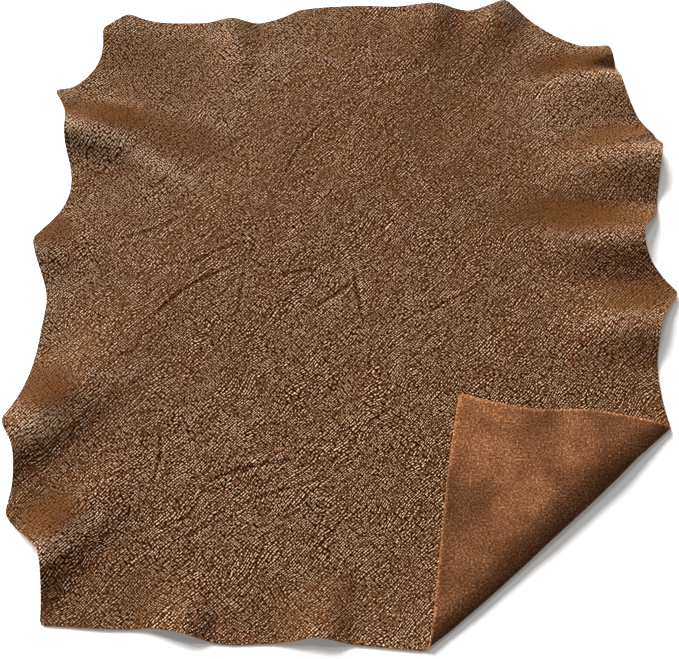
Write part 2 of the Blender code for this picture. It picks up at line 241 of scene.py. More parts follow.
CREST_HIGHLIGHTS = [
    Area("west_high_outer", -0.308, 0.225, 0.044, 0.010, -16, 1.15),
    Area("west_high_inner", -0.240, 0.193, 0.050, 0.009, -30, 0.65),
    Area("west_middle_outer", -0.352, -0.166, 0.044, 0.013, 35, 1.40),
    Area("west_middle_inner", -0.290, -0.115, 0.050, 0.014, 38, 0.50),
    Area("west_low", -0.318, -0.303, 0.046, 0.012, 38, 1.00),
    Area("east_upper", 0.318, 0.200, 0.058, 0.012, 12, 0.10),
    Area("east_middle", 0.300, 0.088, 0.062, 0.013, -8, 1.10),
    Area("east_lower", 0.328, -0.032, 0.050, 0.015, 3, 0.40),
]
PALE_NAP = [
    Area("tip", 0.372, -0.398, 0.060, 0.044, 0, 1.00),
    Area("upper", 0.351, -0.289, 0.034, 0.024, 0, 0.30),
    Area("middle", 0.281, -0.349, 0.040, 0.026, 30, 0.30),
    Area("left", 0.225, -0.398, 0.044, 0.018, 0, 0.12),
]

# Crests of the ripples get a painted highlight, a little down their shaded side. It starts at the
# least bend given below, per metre, and is full at the full bend.
CREST_STEP = 0.006
CREST_HIGHLIGHT_SHARE = 0.22
CREST_LEAN = 0.004
LEAST_HIGHLIGHT_BEND = 7.0
FULL_HIGHLIGHT_BEND = 20.0

# Spacing of the mesh's points on the flat cut, and how far they keep from the rim.
RIM_CURVE_STEP = 0.001
RIM_STEP = 0.0038
GRAIN_STEP = 0.0034
GRAIN_TO_RIM = 0.0020
CREASE_GRID_STEP = 0.0016
CREASE_GRID_GAP = 0.4
FLESH_STEP = 0.0068
FLESH_TO_RIM = 0.0034
FLAP_STEP = 0.0045
FLAP_TO_RIM = 0.0024
ROLL_STEPS = 14
ROLL_RIM_STEPS = 12
ROLL_LENGTH_STEP = 0.0040
SETTLE_STEP = 0.0040
ROLL_TO_RIM = 0.0012
BEFORE_ROLL = 0.0065
AFTER_SETTLE = 0.0030
SAME_POINT = 1e-7
NORMAL_STEP = 0.0004
EDGE_BULGE = 0.0002
EDGE_ANGLE = math.radians(50)


def fold_frame():
    """The fold line's east end, its direction, its outward side and its length."""
    east = np.array(FOLD_EAST_END)
    run = np.array(FOLD_SOUTH_END) - east
    length = float(np.hypot(*run))
    along = run / length
    outward = np.array([-along[1], along[0]])
    return east, along, outward, length


def roll_section(along):
    """Radius and shift of the roll at each share of the way along it."""
    shares = [section.along for section in FOLD_SECTIONS]
    radius = np.interp(along, shares, [section.radius for section in FOLD_SECTIONS])
    shift = np.interp(along, shares, [section.shift for section in FOLD_SECTIONS])
    return radius, shift


def roll_parts(radius):
    """Length, first angle and last angle of each part of the roll's section.

    The face turns up round the tight part and over the wide top until it slopes down
    by SETTLE_ANGLE, runs straight, and turns back until it lies level on the grain.
    """
    down = math.pi + SETTLE_ANGLE
    top = TOP_SHARE * radius
    rise = radius * (1 - math.cos(ROUND_ANGLE))
    rise = rise + top * (math.cos(ROUND_ANGLE) - math.cos(down))
    lying = 2 * THICKNESS + FLAP_GAP
    last_drop = SETTLE_RADIUS * (1 - math.cos(SETTLE_ANGLE))
    slope = np.maximum(rise - lying - last_drop, 0.0) / math.sin(SETTLE_ANGLE)
    return [
        (radius * ROUND_ANGLE, 0.0, ROUND_ANGLE),
        (top * (down - ROUND_ANGLE), ROUND_ANGLE, down),
        (slope, down, down),
        (SETTLE_RADIUS * SETTLE_ANGLE, down, math.pi),
    ]


def round_length(radius):
    """Length of the roll's tight round."""
    return radius * ROUND_ANGLE


def settled_length(radius):
    """Length from the start of the roll to where the corner lies level."""
    return sum(length for length, _, _ in roll_parts(radius))


def roll_profile(distance, radius):
    """Way out and height of the flesh face, at a distance past the start of the roll."""
    out = 0 * distance
    height = 0 * distance
    begin = 0 * distance
    for length, first, last in roll_parts(radius):
        gone = np.clip(distance - begin, 0.0, length)
        if first == last:
            out = out + gone * math.cos(first)
            height = height + gone * math.sin(first)
        else:
            bend = length / (last - first)
            angle = first + gone / bend
            out = out + bend * (np.sin(angle) - math.sin(first))
            height = height + bend * (math.cos(first) - np.cos(angle))
        begin = begin + length
    return out - np.maximum(distance - begin, 0.0), height


def roll_start(radius, shift):
    """Place across the fold line where the face leaves the ground, so that the corner
    beyond the roll lies mirrored in the fold line."""
    far = settled_length(radius)
    out, _ = roll_profile(far, radius)
    return shift - (out + far) / 2


def over_roll(points):
    """Distance past the start of the roll for points of the flat cut, and its radius."""
    east, along, outward, length = fold_frame()
    radius, shift = roll_section(np.clip((points - east) @ along / length, 0.0, 1.0))
    return (points - east) @ outward - roll_start(radius, shift), radius


def crest_profile(across):
    """Share of a ridge's height at a share of its half width: round on its crest."""
    top = math.hypot(1.0, CREST_SOFTNESS)
    off_crest = np.hypot(np.clip(across, -1.0, 1.0), CREST_SOFTNESS)
    return ((top - off_crest) / (top - CREST_SOFTNESS)) ** SLOPE_POWER


def ridge_height(x, y):
    """Height of the flesh face over the ground from all the ridges."""
    height = np.zeros_like(x)
    for ridge in RIDGES:
        run = np.array([ridge.in_x - ridge.rim_x, ridge.in_y - ridge.rim_y])
        length = np.hypot(*run)
        run = run / length
        inward = ((x - ridge.rim_x) * run[0] + (y - ridge.rim_y) * run[1]) / length
        side = (y - ridge.rim_y) * run[0] - (x - ridge.rim_x) * run[1]
        inward = np.clip(inward, 0.0, 1.0)
        side = side - ridge.bend * 4 * inward * (1 - inward)
        width = np.where(side > 0, ridge.left, ridge.right)
        fade = np.cos(0.5 * math.pi * inward) ** 2
        height = height + ridge.height * fade * crest_profile(side / width)
    return height


def flap_lift(x, y):
    """Extra height of the turned corner where it stands off the grain."""
    height = np.zeros_like(x)
    for lift in FLAP_LIFTS:
        reach = np.hypot(x - lift.x, y - lift.y) / lift.radius
        height = height + lift.height * np.cos(0.5 * math.pi * np.clip(reach, 0, 1)) ** 2
    return height


def wave_height(x, y):
    """Height of the broad waves where the sheet lies, never below the ground."""
    height = np.zeros_like(x)
    for wave in WAVES:
        turn = 2 * math.pi * (x / wave.length_x + y / wave.length_y) + wave.phase
        height = height + wave.height * (1 + np.sin(turn))
    return height


def lay_out(cut):
    """Take points of the flat cut to where the flesh face lies."""
    _, _, outward, _ = fold_frame()
    distance, radius = over_roll(cut)
    distance = np.maximum(distance, 0.0)
    out, height = roll_profile(distance, radius)
    plan = cut + outward * (out - distance)[:, None]
    turned = np.clip(distance / round_length(radius) - 1.0, 0.0, 1.0)
    height = height + turned * flap_lift(cut[:, 0], cut[:, 1])
    height = height + ridge_height(cut[:, 0], cut[:, 1])
    height = height + wave_height(plan[:, 0], plan[:, 1])
    return np.column_stack([plan, height])


def grain_direction(cut):
    """Direction from the flesh face to the grain face at points of the flat cut."""
    step_x = np.array([NORMAL_STEP, 0.0])
    step_y = np.array([0.0, NORMAL_STEP])
    across = lay_out(cut + step_x) - lay_out(cut - step_x)
    up = lay_out(cut + step_y) - lay_out(cut - step_y)
    normal = np.cross(across, up)
    return normal / np.linalg.norm(normal, axis=1)[:, None]


def smooth_route(route):
    """A crease's route as closely stepped points on a smooth curve through its own."""
    points = np.array([route[0], *route, route[-1]])
    pieces = []
    for before, start, end, after in zip(points, points[1:], points[2:], points[3:]):
        count = max(2, round(np.hypot(*(end - start)) / CREASE_STEP))
        t = np.linspace(0.0, 1.0, count, endpoint=False)[:, None]
        curve = 2 * start + (end - before) * t
        curve = curve + (2 * before - 5 * start + 4 * end - after) * t**2
        curve = curve + (3 * start - before - 3 * end + after) * t**3
        pieces.append(curve / 2)
    return np.vstack([*pieces, points[-1:]])


def beside_route(points, route):
    """Distance of points from a route, and their share of the way along it."""
    nearest = np.full(len(points), np.inf)
    share = np.zeros(len(points))
    for index, (start, end) in enumerate(zip(route, route[1:])):
        run = end - start
        at = np.clip((points - start) @ run / (run @ run), 0.0, 1.0)
        gap = np.hypot(*(points - start - at[:, None] * run).T)
        closer = gap < nearest
        nearest = np.where(closer, gap, nearest)
        share = np.where(closer, (index + at) / (len(route) - 1), share)
    return nearest, share


def crease_relief(cut):
    """Relief of the grain face from the creases, and how near each point is to one."""
    relief = np.zeros(len(cut))
    nearness = np.full(len(cut), np.inf)
    for crease in CREASES:
        route = smooth_route(crease.route)
        reach = CREASE_REACH * crease.width
        low = route.min(axis=0) - reach
        high = route.max(axis=0) + reach
        close = np.flatnonzero(((cut > low) & (cut < high)).all(axis=1))
        gap, share = beside_route(cut[close], route)
        gap = gap / crease.width
        trough = np.exp(-(gap**2))
        swell = SWELL_SHARE * np.exp(-((gap - SWELL_PLACE) ** 2))
        fade = np.sin(math.pi * np.clip(share, 0.0, 1.0)) ** CREASE_FADE_POWER
        relief[close] += crease.depth * fade * (swell - trough)
        nearness[close] = np.minimum(nearness[close], gap)
    return relief, nearness


def crest_highlight(cut):
    """How much painted highlight the bend of a crest puts on the grain at points of the flat cut."""
    x = cut[:, 0]
    y = cut[:, 1] + CREST_LEAN
    bend = 4 * ridge_height(x, y)
    bend = bend - ridge_height(x + CREST_STEP, y) - ridge_height(x - CREST_STEP, y)
    bend = bend - ridge_height(x, y + CREST_STEP) - ridge_height(x, y - CREST_STEP)
    bend = bend / CREST_STEP**2
    return np.clip((bend - LEAST_HIGHLIGHT_BEND) / (FULL_HIGHLIGHT_BEND - LEAST_HIGHLIGHT_BEND), 0.0, 1.0)


def area_share(cut, areas):
    """How much points of the flat cut lie in some areas, from 0 to 1."""
    share = np.zeros(len(cut))
    for area in areas:
        turn = math.radians(area.turn)
        x = cut[:, 0] - area.x
        y = cut[:, 1] - area.y
        along = (x * math.cos(turn) + y * math.sin(turn)) / area.half_x
        across = (y * math.cos(turn) - x * math.sin(turn)) / area.half_y
        share = np.maximum(share, area.amount * np.exp(-((along**2 + across**2) ** 2) / 2))
    return share


def rim_side(point, following, count):
    """Points of one side of the rim, a cubic curve drawn in by its two bows."""
    start = np.array([point.x, point.y])
    chord = np.array([following.x, following.y]) - start
    inward = np.array([chord[1], -chord[0]]) / np.hypot(*chord)
    near = start + chord / 3 + inward * point.near_bow
    far = start + chord * 2 / 3 + inward * point.far_bow
    t = np.linspace(0.0, 1.0, count, endpoint=False)[:, None]
    curve = (1 - t) ** 3 * start + 3 * (1 - t) ** 2 * t * near
    return curve + 3 * (1 - t) * t**2 * far + t**3 * (start + chord)


def soft_rim():
    """The whole rim, closely and evenly stepped, with its corners worn round."""
    sides = []
    for index, point in enumerate(RIM):
        following = RIM[(index + 1) % len(RIM)]
        reach = math.hypot(following.x - point.x, following.y - point.y)
        sides.append(rim_side(point, following, round(reach / RIM_CURVE_STEP)))
    rim = np.vstack(sides)
    # Each pass blurs by a step over the root of two, and all of them by CORNER_SOFTNESS.
    for _ in range(round(2 * (CORNER_SOFTNESS / RIM_CURVE_STEP) ** 2)):
        rim = (np.roll(rim, 1, axis=0) + 2 * rim + np.roll(rim, -1, axis=0)) / 4
    return rim


def stepped_rim():
    """The rim with a point every RIM_STEP, and closer ones where it goes over the roll."""
    rim = soft_rim()
    distance, radius = over_roll(rim)
    on_roll = (distance > -ROLL_TO_RIM) & (distance < round_length(radius))
    steps = np.where(on_roll, round_length(radius) / ROLL_RIM_STEPS, RIM_STEP)
    chosen = [0]
    for index in range(1, len(rim)):
        if np.hypot(*(rim[index] - rim[chosen[-1]])) >= steps[index]:
            chosen.append(index)
    return rim[chosen]


def spread(step, rim):
    """Evenly spread points over the rim's box, rows staggered."""
    low = rim.min(axis=0)
    high = rim.max(axis=0)
    x = np.arange(low[0], high[0], step)
    rows = []
    for row, y in enumerate(np.arange(low[1], high[1], step * math.sqrt(3) / 2)):
        rows.append(np.column_stack([x + step / 2 * (row % 2), np.full_like(x, y)]))
    return np.vstack(rows)


def roll_rows():
    """Points in rows along the roll and down the slope behind it."""
    east, along, outward, length = fold_frame()
    rows = []
    for place in np.arange(-SETTLE_STEP, length + SETTLE_STEP, ROLL_LENGTH_STEP):
        radius, shift = roll_section(np.clip(place / length, 0.0, 1.0))
        roll = round_length(radius)
        settled = settled_length(radius)
        slope_count = math.ceil((settled - roll) / SETTLE_STEP)
        distances = np.concatenate(
            [
                [-SETTLE_STEP],
                np.linspace(0.0, roll, ROLL_STEPS + 1),
                np.linspace(roll, settled, slope_count + 1)[1:],
            ]
        )
        across = distances + roll_start(radius, shift)
        rows.append(east + along * place + outward * across[:, None])
    return np.vstack(rows)


def near_roll(points):
    """True for points on the roll, on its slope or a little before or after them."""
    distance, radius = over_roll(points)
    settled = settled_length(radius)
    return (distance > -BEFORE_ROLL) & (distance < settled + AFTER_SETTLE)


def well_inside(points, rim, margin):
    """True for points inside the rim and at least a margin away from it."""
    inside = np.zeros(len(points), dtype=bool)
    clear = np.ones(len(points), dtype=bool)
    x, y = points.T
    for a, b in zip(rim, np.roll(rim, -1, axis=0)):
        crosses = np.flatnonzero((a[1] > y) != (b[1] > y))
        at = a[0] + (y[crosses] - a[1]) * (b[0] - a[0]) / (b[1] - a[1])
        inside[crosses] ^= x[crosses] < at
        near_x = (x > min(a[0], b[0]) - margin) & (x < max(a[0], b[0]) + margin)
        near_y = (y > min(a[1], b[1]) - margin) & (y < max(a[1], b[1]) + margin)
        near = np.flatnonzero(near_x & near_y)
        edge = b - a
        share = np.clip((points[near] - a) @ edge / (edge @ edge), 0.0, 1.0)
        gap = np.hypot(*(points[near] - a - share[:, None] * edge).T)
        clear[near[gap < margin]] = False
    return inside & clear


def triangulated(rim, inner):
    """Points and triangles of a face of the flat cut, its first points the rim's."""
    vectors = [Vector(point) for point in np.vstack([rim, inner])]
    inside_only = 1
    points, _, faces, _, _, _ = delaunay_2d_cdt(
        vectors, [], [list(range(len(rim)))], inside_only, SAME_POINT
    )
    return np.array([point[:] for point in points]), np.array(faces)


def grain_points(rim):
    """Points inside the rim for the grain face, closest at the creases."""
    even = spread(GRAIN_STEP, rim)
    close = spread(CREASE_GRID_STEP, rim)
    even = even[~near_roll(even)]
    even = even[crease_relief(even)[1] > CREASE_REACH]
    close = close[crease_relief(close)[1] < CREASE_REACH - CREASE_GRID_GAP]
    rows = roll_rows()
    return np.vstack(
        [
            even[well_inside(even, rim, GRAIN_TO_RIM)],
            close,
            rows[well_inside(rows, rim, ROLL_TO_RIM)],
        ]
    )


def flesh_points(rim):
    """Points inside the rim for the flesh face, closest on the turned corner."""
    wide = spread(FLESH_STEP, rim)
    wide = wide[~near_roll(wide) & (over_roll(wide)[0] < 0)]
    flap = spread(FLAP_STEP, rim)
    flap = flap[~near_roll(flap) & (over_roll(flap)[0] > 0)]
    rows = roll_rows()
    return np.vstack(
        [
            wide[well_inside(wide, rim, FLESH_TO_RIM)],
            flap[well_inside(flap, rim, FLAP_TO_RIM)],
            rows[well_inside(rows, rim, ROLL_TO_RIM)],
        ]
    )


def hide_mesh():
    """The sheet's grain face, flesh face and cut edge, as one closed mesh with a map."""
    rim = stepped_rim()
    count = len(rim)
    grain_cut, grain_faces = triangulated(rim, grain_points(rim))
    flesh_cut, flesh_faces = triangulated(rim, flesh_points(rim))
    grain_way = grain_direction(grain_cut)
    grain = lay_out(grain_cut) + THICKNESS * grain_way
    grain = grain + crease_relief(grain_cut)[0][:, None] * grain_way
    flesh = lay_out(flesh_cut)

    outward = np.roll(rim, 1, axis=0) - np.roll(rim, -1, axis=0)
    outward = np.column_stack([-outward[:, 1], outward[:, 0]])
    outward = outward / np.hypot(*outward.T)[:, None]
    bulge_cut = rim + EDGE_BULGE * outward
    middle = lay_out(bulge_cut) + 0.5 * THICKNESS * grain_direction(bulge_cut)

    first_flesh = len(grain)
    first_middle = first_flesh + len(flesh)
    ring = np.arange(count)
    after = np.roll(ring, -1)
    upper = np.column_stack(
        [ring, after, after + first_middle, ring + first_middle]
    )
    lower = np.column_stack(
        [
            ring + first_middle,
            after + first_middle,
            after + first_flesh,
            ring + first_flesh,
        ]
    )
    faces = [
        *grain_faces.tolist(),
        *(flesh_faces[:, ::-1] + first_flesh).tolist(),
        *upper.tolist(),
        *lower.tolist(),
    ]
    mesh = bpy.data.meshes.new("hide_sheet")
    mesh.from_pydata(np.vstack([grain, flesh, middle]).tolist(), [], faces)
    slots = np.zeros(len(faces), dtype=np.int32)
    slots[len(grain_faces):] = 1
    slots[len(grain_faces) + len(flesh_faces):] = 2
    mesh.polygons.foreach_set("material_index", slots)

    cut = np.vstack([grain_cut, flesh_cut, rim])
    corners = np.zeros(len(mesh.loops), dtype=np.int32)
    mesh.loops.foreach_get("vertex_index", corners)
    cut_map = mesh.uv_layers.new(name="flat_cut")
    cut_map.uv.foreach_set("vector", (cut[corners] + 0.5).astype(np.float32).ravel())
    # Shares read by the materials: the crests' share is a painted highlight, and the share of smooth
    # warm places is partly painted light.
    shares = {
        "warm_smooth_and_lit": area_share(cut, WARM_SMOOTH_AND_LIT),
        "coarse": area_share(cut, COARSE),
        "crest": np.maximum(CREST_HIGHLIGHT_SHARE * crest_highlight(cut), area_share(cut, CREST_HIGHLIGHTS)),
        "crease": crease_relief(cut)[0] / DEEP_CREASE,
        "pale_nap": area_share(cut, PALE_NAP),
        "trimmed": np.zeros(len(cut)),
    }
    shares["trimmed"][first_flesh : first_flesh + count] = 1.0
    for name, values in shares.items():
        share = mesh.attributes.new(name, "FLOAT", "POINT")
        share.data.foreach_set("value", values.astype(np.float32))
    return mesh, rim


sheet_mesh, cut_rim = hide_mesh()
hide = bpy.data.objects.new("hide_sheet", sheet_mesh)
bpy.context.collection.objects.link(hide)
bpy.ops.object.select_all(action="DESELECT")
hide.select_set(True)
bpy.context.view_layer.objects.active = hide
bpy.ops.object.shade_smooth_by_angle(angle=EDGE_ANGLE)


def linear(hex_colour):
    """An sRGB hex colour as the linear values that a shader takes."""
    parts = [int(hex_colour[i : i + 2], 16) / 255 for i in (1, 3, 5)]
    low = [part / 12.92 for part in parts]
    high = [((part + 0.055) / 1.055) ** 2.4 for part in parts]
    return (*(a if p <= 0.04045 else b for p, a, b in zip(parts, low, high)), 1.0)


def add(tree, kind, settings=None, inputs=None):
    """Add a node with its settings. An input is a value, or an output to link to it."""
    node = tree.nodes.new(kind)
    for name, value in (settings or {}).items():
        setattr(node, name, value)
    for name, value in (inputs or {}).items():
        if isinstance(value, bpy.types.NodeSocket):
            tree.links.new(value, node.inputs[name])
        else:
            node.inputs[name].default_value = value
    return node


# Full-grain leather, tumbled so that its grain stands up in pebbles, dyed through and given a thin wax
# finish. The eye sees pale tops in slanting rows, dark crevices between them, and a low, soft gloss on
# the pebbles. Its colour paints shade into the crevices and a pale highlight onto the tops, over the
# dye's brown. Smooth places are warm and even, and on the lit upper slopes of the ripples this warmth
# is painted light.
#
# The grain's sizes: a pebble's width and how much longer it is along the slant, a row's
# width and how much longer its waves are, and how far each is shaken out of line, over
# what length. The grain as a whole drifts, and is bolder in some patches than in others.
COARSE_PEBBLE_MM = 2.35
FINE_PEBBLE_MM = 2.2
PEBBLE_STRETCH = 1.45
PEBBLE_JITTER = 0.55
PEBBLE_SHAKE = 0.0012
PEBBLE_SHAKE_MM = 6.0
ROW_MM = 2.9
ROW_STRETCH = 3.0
ROW_WAVINESS = 9.0
ROW_SHAKE = 0.0020
ROW_SHAKE_MM = 9.0
GRAIN_SLANT = math.radians(46)
DRIFT = 0.016
DRIFT_MM = 60.0
PATCH_MM = 15.0
PATCH_STRETCH = 1.3

# Steeper domes leave wider crevices. Heights run from 0 in a crevice to 1 on a top, and
# patches stretch them about their mean.
COARSE_STEEPNESS = 2.7
FINE_STEEPNESS = 2.5
MEAN_HEIGHT = 0.44
PEBBLE_RELIEF = 0.0012
CREST_HIGHLIGHT_GAIN = 0.4
CREASE_SHADE = 0.20
grain_leather = bpy.data.materials.new("pebbled_grain_leather")
grain_leather.use_nodes = True
tree = grain_leather.node_tree
shader = tree.nodes["Principled BSDF"]
cut_map = add(tree, "ShaderNodeUVMap", {"uv_map": "flat_cut"}).outputs["UV"]
# Shares set on the mesh: smooth warm places, partly painted light; coarse grain; the crests' painted
# highlight; and the creases' depth, used for painted shade.
warm_smooth_and_lit = add(tree, "ShaderNodeAttribute", {"attribute_name": "warm_smooth_and_lit"}).outputs["Fac"]
coarse = add(tree, "ShaderNodeAttribute", {"attribute_name": "coarse"}).outputs["Fac"]
crest = add(tree, "ShaderNodeAttribute", {"attribute_name": "crest"}).outputs["Fac"]
crease = add(tree, "ShaderNodeAttribute", {"attribute_name": "crease"}).outputs["Fac"]
drift = add(
    tree,
    "ShaderNodeTexNoise",
    {"noise_dimensions": "2D"},
    {"Vector": cut_map, "Scale": 1000 / DRIFT_MM, "Detail": 1.0},
)
drifted = add(
    tree,
    "ShaderNodeVectorMath",
    {"operation": "MULTIPLY_ADD"},
    {0: drift.outputs["Color"], 1: (DRIFT, DRIFT, 0.0), 2: cut_map},
)


def wandering(stretch, shake, shake_mm):
    """Place on the cut, drawn out along the slant of the grain, and a little shaken."""
    place = add(
        tree,
        "ShaderNodeMapping",
        {"vector_type": "TEXTURE"},
        {
            "Vector": drifted.outputs[0],
            "Rotation": (0.0, 0.0, GRAIN_SLANT),
            "Scale": (stretch, 1.0, 1.0),
        },
    ).outputs[0]
    shaking = add(
        tree,
        "ShaderNodeTexNoise",
        {"noise_dimensions": "2D"},
        {"Vector": place, "Scale": 1000 / shake_mm, "Detail": 1.0},
    )
    return add(
        tree,
        "ShaderNodeVectorMath",
        {"operation": "MULTIPLY_ADD"},
        {0: shaking.outputs["Color"], 1: (shake, shake, 0.0), 2: place},
    ).outputs[0]


def pebble_dome(place, pebble_mm, steepness):
    """Height of round pebbles of a size, from 0 in the crevices to 1 on their tops."""
    cells = add(
        tree,
        "ShaderNodeTexVoronoi",
        {"voronoi_dimensions": "2D", "feature": "F1"},
        {"Vector": place, "Scale": 1000 / pebble_mm, "Randomness": PEBBLE_JITTER},
    ).outputs["Distance"]
    bowl = add(tree, "ShaderNodeMath", {"operation": "MULTIPLY"}, {0: cells, 1: cells})
    return add(
        tree,
        "ShaderNodeMath",
        {"operation": "MULTIPLY_ADD", "use_clamp": True},
        {0: bowl.outputs[0], 1: -steepness, 2: 1.0},
    ).outputs[0]


pebble_place = wandering(PEBBLE_STRETCH, PEBBLE_SHAKE, PEBBLE_SHAKE_MM)
pebbles = add(
    tree,
    "ShaderNodeMix",
    {"data_type": "FLOAT"},
    {
        0: coarse,
        2: pebble_dome(pebble_place, FINE_PEBBLE_MM, FINE_STEEPNESS),
        3: pebble_dome(pebble_place, COARSE_PEBBLE_MM, COARSE_STEEPNESS),
    },
)
row_bands = add(
    tree,
    "ShaderNodeTexWave",
    {"wave_type": "BANDS", "bands_direction": "Y", "wave_profile": "SIN"},
    {
        "Vector": wandering(ROW_STRETCH, ROW_SHAKE, ROW_SHAKE_MM),
        "Scale": 1000 * math.pi / 10 / ROW_MM,
        "Distortion": ROW_WAVINESS,
        "Detail": 2.0,
        "Detail Scale": 0.8,
        "Detail Roughness": 0.6,
    },
)
row_depth = add(
    tree,
    "ShaderNodeMapRange",
    {},
    {"Value": coarse, "To Min": 0.58, "To Max": 0.40},
)
rows = add(
    tree,
    "ShaderNodeMapRange",
    {},
    {"Value": row_bands.outputs["Fac"], "To Min": row_depth.outputs[0]},
)
full_height = add(
    tree,
    "ShaderNodeMath",
    {"operation": "MULTIPLY"},
    {0: pebbles.outputs[0], 1: rows.outputs[0]},
)
patches = add(
    tree,
    "ShaderNodeTexNoise",
    {"noise_dimensions": "2D"},
    {
        "Vector": wandering(PATCH_STRETCH, ROW_SHAKE, ROW_SHAKE_MM),
        "Scale": 1000 / PATCH_MM,
        "Detail": 2.0,
    },
)
boldness = add(
    tree,
    "ShaderNodeMapRange",
    {},
    {
        "Value": patches.outputs["Fac"],
        "From Min": 0.36,
        "From Max": 0.60,
        "To Min": 0.80,
        "To Max": 1.12,
    },
)
height = add(
    tree,
    "ShaderNodeMix",
    {"data_type": "FLOAT", "clamp_factor": False},
    {0: boldness.outputs[0], 2: MEAN_HEIGHT, 3: full_height.outputs[0]},
)
smoothing = add(
    tree,
    "ShaderNodeMapRange",
    {},
    {"Value": warm_smooth_and_lit, "To Min": 1.0, "To Max": 0.45},
)
relief = add(
    tree,
    "ShaderNodeMath",
    {"operation": "MULTIPLY"},
    {0: height.outputs[0], 1: smoothing.outputs[0]},
)
# Painted highlight: the crests' share raises the heights that the grain's colour is read from, so the
# crests are painted paler.
highlight_gain = add(
    tree,
    "ShaderNodeMath",
    {"operation": "MULTIPLY_ADD"},
    {0: crest, 1: CREST_HIGHLIGHT_GAIN, 2: 1.0},
)
highlighted_height = add(
    tree,
    "ShaderNodeMath",
    {"operation": "MULTIPLY"},
    {0: height.outputs[0], 1: highlight_gain.outputs[0]},
)
# Painted shade: the troughs of the creases are painted darker, and their swollen sides a little
# lighter.
dye_and_shade_height = add(
    tree,
    "ShaderNodeMath",
    {"operation": "MULTIPLY_ADD", "use_clamp": True},
    {0: crease, 1: CREASE_SHADE, 2: highlighted_height.outputs[0]},
)
# The ramp paints shade into the crevices and a pale highlight onto the pebble tops, over the dye's own
# brown.
dye_and_shade = add(tree, "ShaderNodeValToRGB", {}, {"Fac": dye_and_shade_height.outputs[0]})
dye_and_shade.color_ramp.elements[0].position = 0.12
dye_and_shade.color_ramp.elements[0].color = linear("#1c0900")
dye_and_shade.color_ramp.elements[1].position = 0.90
dye_and_shade.color_ramp.elements[1].color = linear("#dcbd9e")
body = dye_and_shade.color_ramp.elements.new(0.35)
body.color = linear("#47260a")
worn_and_lit_top = dye_and_shade.color_ramp.elements.new(0.60)
worn_and_lit_top.color = linear("#765438")
# Where the grain is smooth and warm, a warmer ramp without the pale painted highlight on the tops, its
# crevices still painted darker. On the lit upper slopes of the ripples this warmth is painted light;
# elsewhere it is the skin's tone.
warm_tone_and_shade = add(tree, "ShaderNodeValToRGB", {}, {"Fac": height.outputs[0]})
warm_tone_and_shade.color_ramp.elements[0].position = 0.10
warm_tone_and_shade.color_ramp.elements[0].color = linear("#2a1606")
warm_tone_and_shade.color_ramp.elements[1].position = 0.90
warm_tone_and_shade.color_ramp.elements[1].color = linear("#68411f")
colour = add(
    tree,
    "ShaderNodeMix",
    {"data_type": "RGBA"},
    {0: warm_smooth_and_lit, 6: dye_and_shade.outputs[0], 7: warm_tone_and_shade.outputs[0]},
)
bump = add(
    tree,
    "ShaderNodeBump",
    {},
    {"Height": relief.outputs[0], "Distance": PEBBLE_RELIEF, "Strength": 1.0},
)
wax = add(
    tree,
    "ShaderNodeMapRange",
    {},
    {
        "Value": height.outputs[0],
        "From Min": 0.05,
        "From Max": 0.40,
        "To Min": 0.90,
        "To Max": 0.28,
    },
)
tree.links.new(colour.outputs[2], shader.inputs["Base Color"])
tree.links.new(bump.outputs[0], shader.inputs["Normal"])
tree.links.new(wax.outputs[0], shader.inputs["Roughness"])
shader.inputs["Specular IOR Level"].default_value = 0.13
sheet_mesh.materials.append(grain_leather)

# Flesh side of the same hide, shaved and buffed to a short nap. The eye sees a mottled, velvety tan
# with no gloss, paler towards the tip of the turned corner and at the trimmed rim. Its fibres are
# finer than a tenth of a millimetre, and are drawn as tufts so that they show.
CLOUD_MM = 32.0
CLOUD_SHARE = 0.36
TUFT_MM = 2.3
NAP_RELIEF = 0.0005
PALE_NAP_GAIN = 1.4
TRIMMED_PALING = 2.2
suede = bpy.data.materials.new("buffed_suede")
suede.use_nodes = True
tree = suede.node_tree
shader = tree.nodes["Principled BSDF"]
cut_map = add(tree, "ShaderNodeUVMap", {"uv_map": "flat_cut"}).outputs["UV"]
clouds = add(
    tree,
    "ShaderNodeTexNoise",
    {"noise_dimensions": "2D"},
    {"Vector": cut_map, "Scale": 1000 / CLOUD_MM, "Detail": 3.0, "Roughness": 0.6},
)
tufts = add(
    tree,
    "ShaderNodeTexNoise",
    {"noise_dimensions": "2D"},
    {"Vector": cut_map, "Scale": 1000 / TUFT_MM, "Detail": 1.0, "Roughness": 0.6},
)
mottle = add(
    tree,
    "ShaderNodeMath",
    {"operation": "MULTIPLY_ADD"},
    {0: clouds.outputs[0], 1: CLOUD_SHARE, 2: tufts.outputs[0]},
)
nap_colour = add(tree, "ShaderNodeValToRGB", {}, {"Fac": mottle.outputs[0]})
nap_colour.color_ramp.elements[0].position = 0.43
nap_colour.color_ramp.elements[0].color = linear("#301a0a")
nap_colour.color_ramp.elements[1].position = 0.98
nap_colour.color_ramp.elements[1].color = linear("#805736")
brushed = nap_colour.color_ramp.elements.new(0.82)
brushed.color = linear("#583722")
pale_nap = add(tree, "ShaderNodeAttribute", {"attribute_name": "pale_nap"}).outputs["Fac"]
trimmed = add(tree, "ShaderNodeAttribute", {"attribute_name": "trimmed"}).outputs["Fac"]
pale_nap_scale = add(
    tree,
    "ShaderNodeMath",
    {"operation": "MULTIPLY_ADD"},
    {0: pale_nap, 1: PALE_NAP_GAIN, 2: 1.0},
)
rim_shade = add(
    tree,
    "ShaderNodeMath",
    {"operation": "MULTIPLY_ADD"},
    {0: trimmed, 1: TRIMMED_PALING, 2: pale_nap_scale.outputs[0]},
)
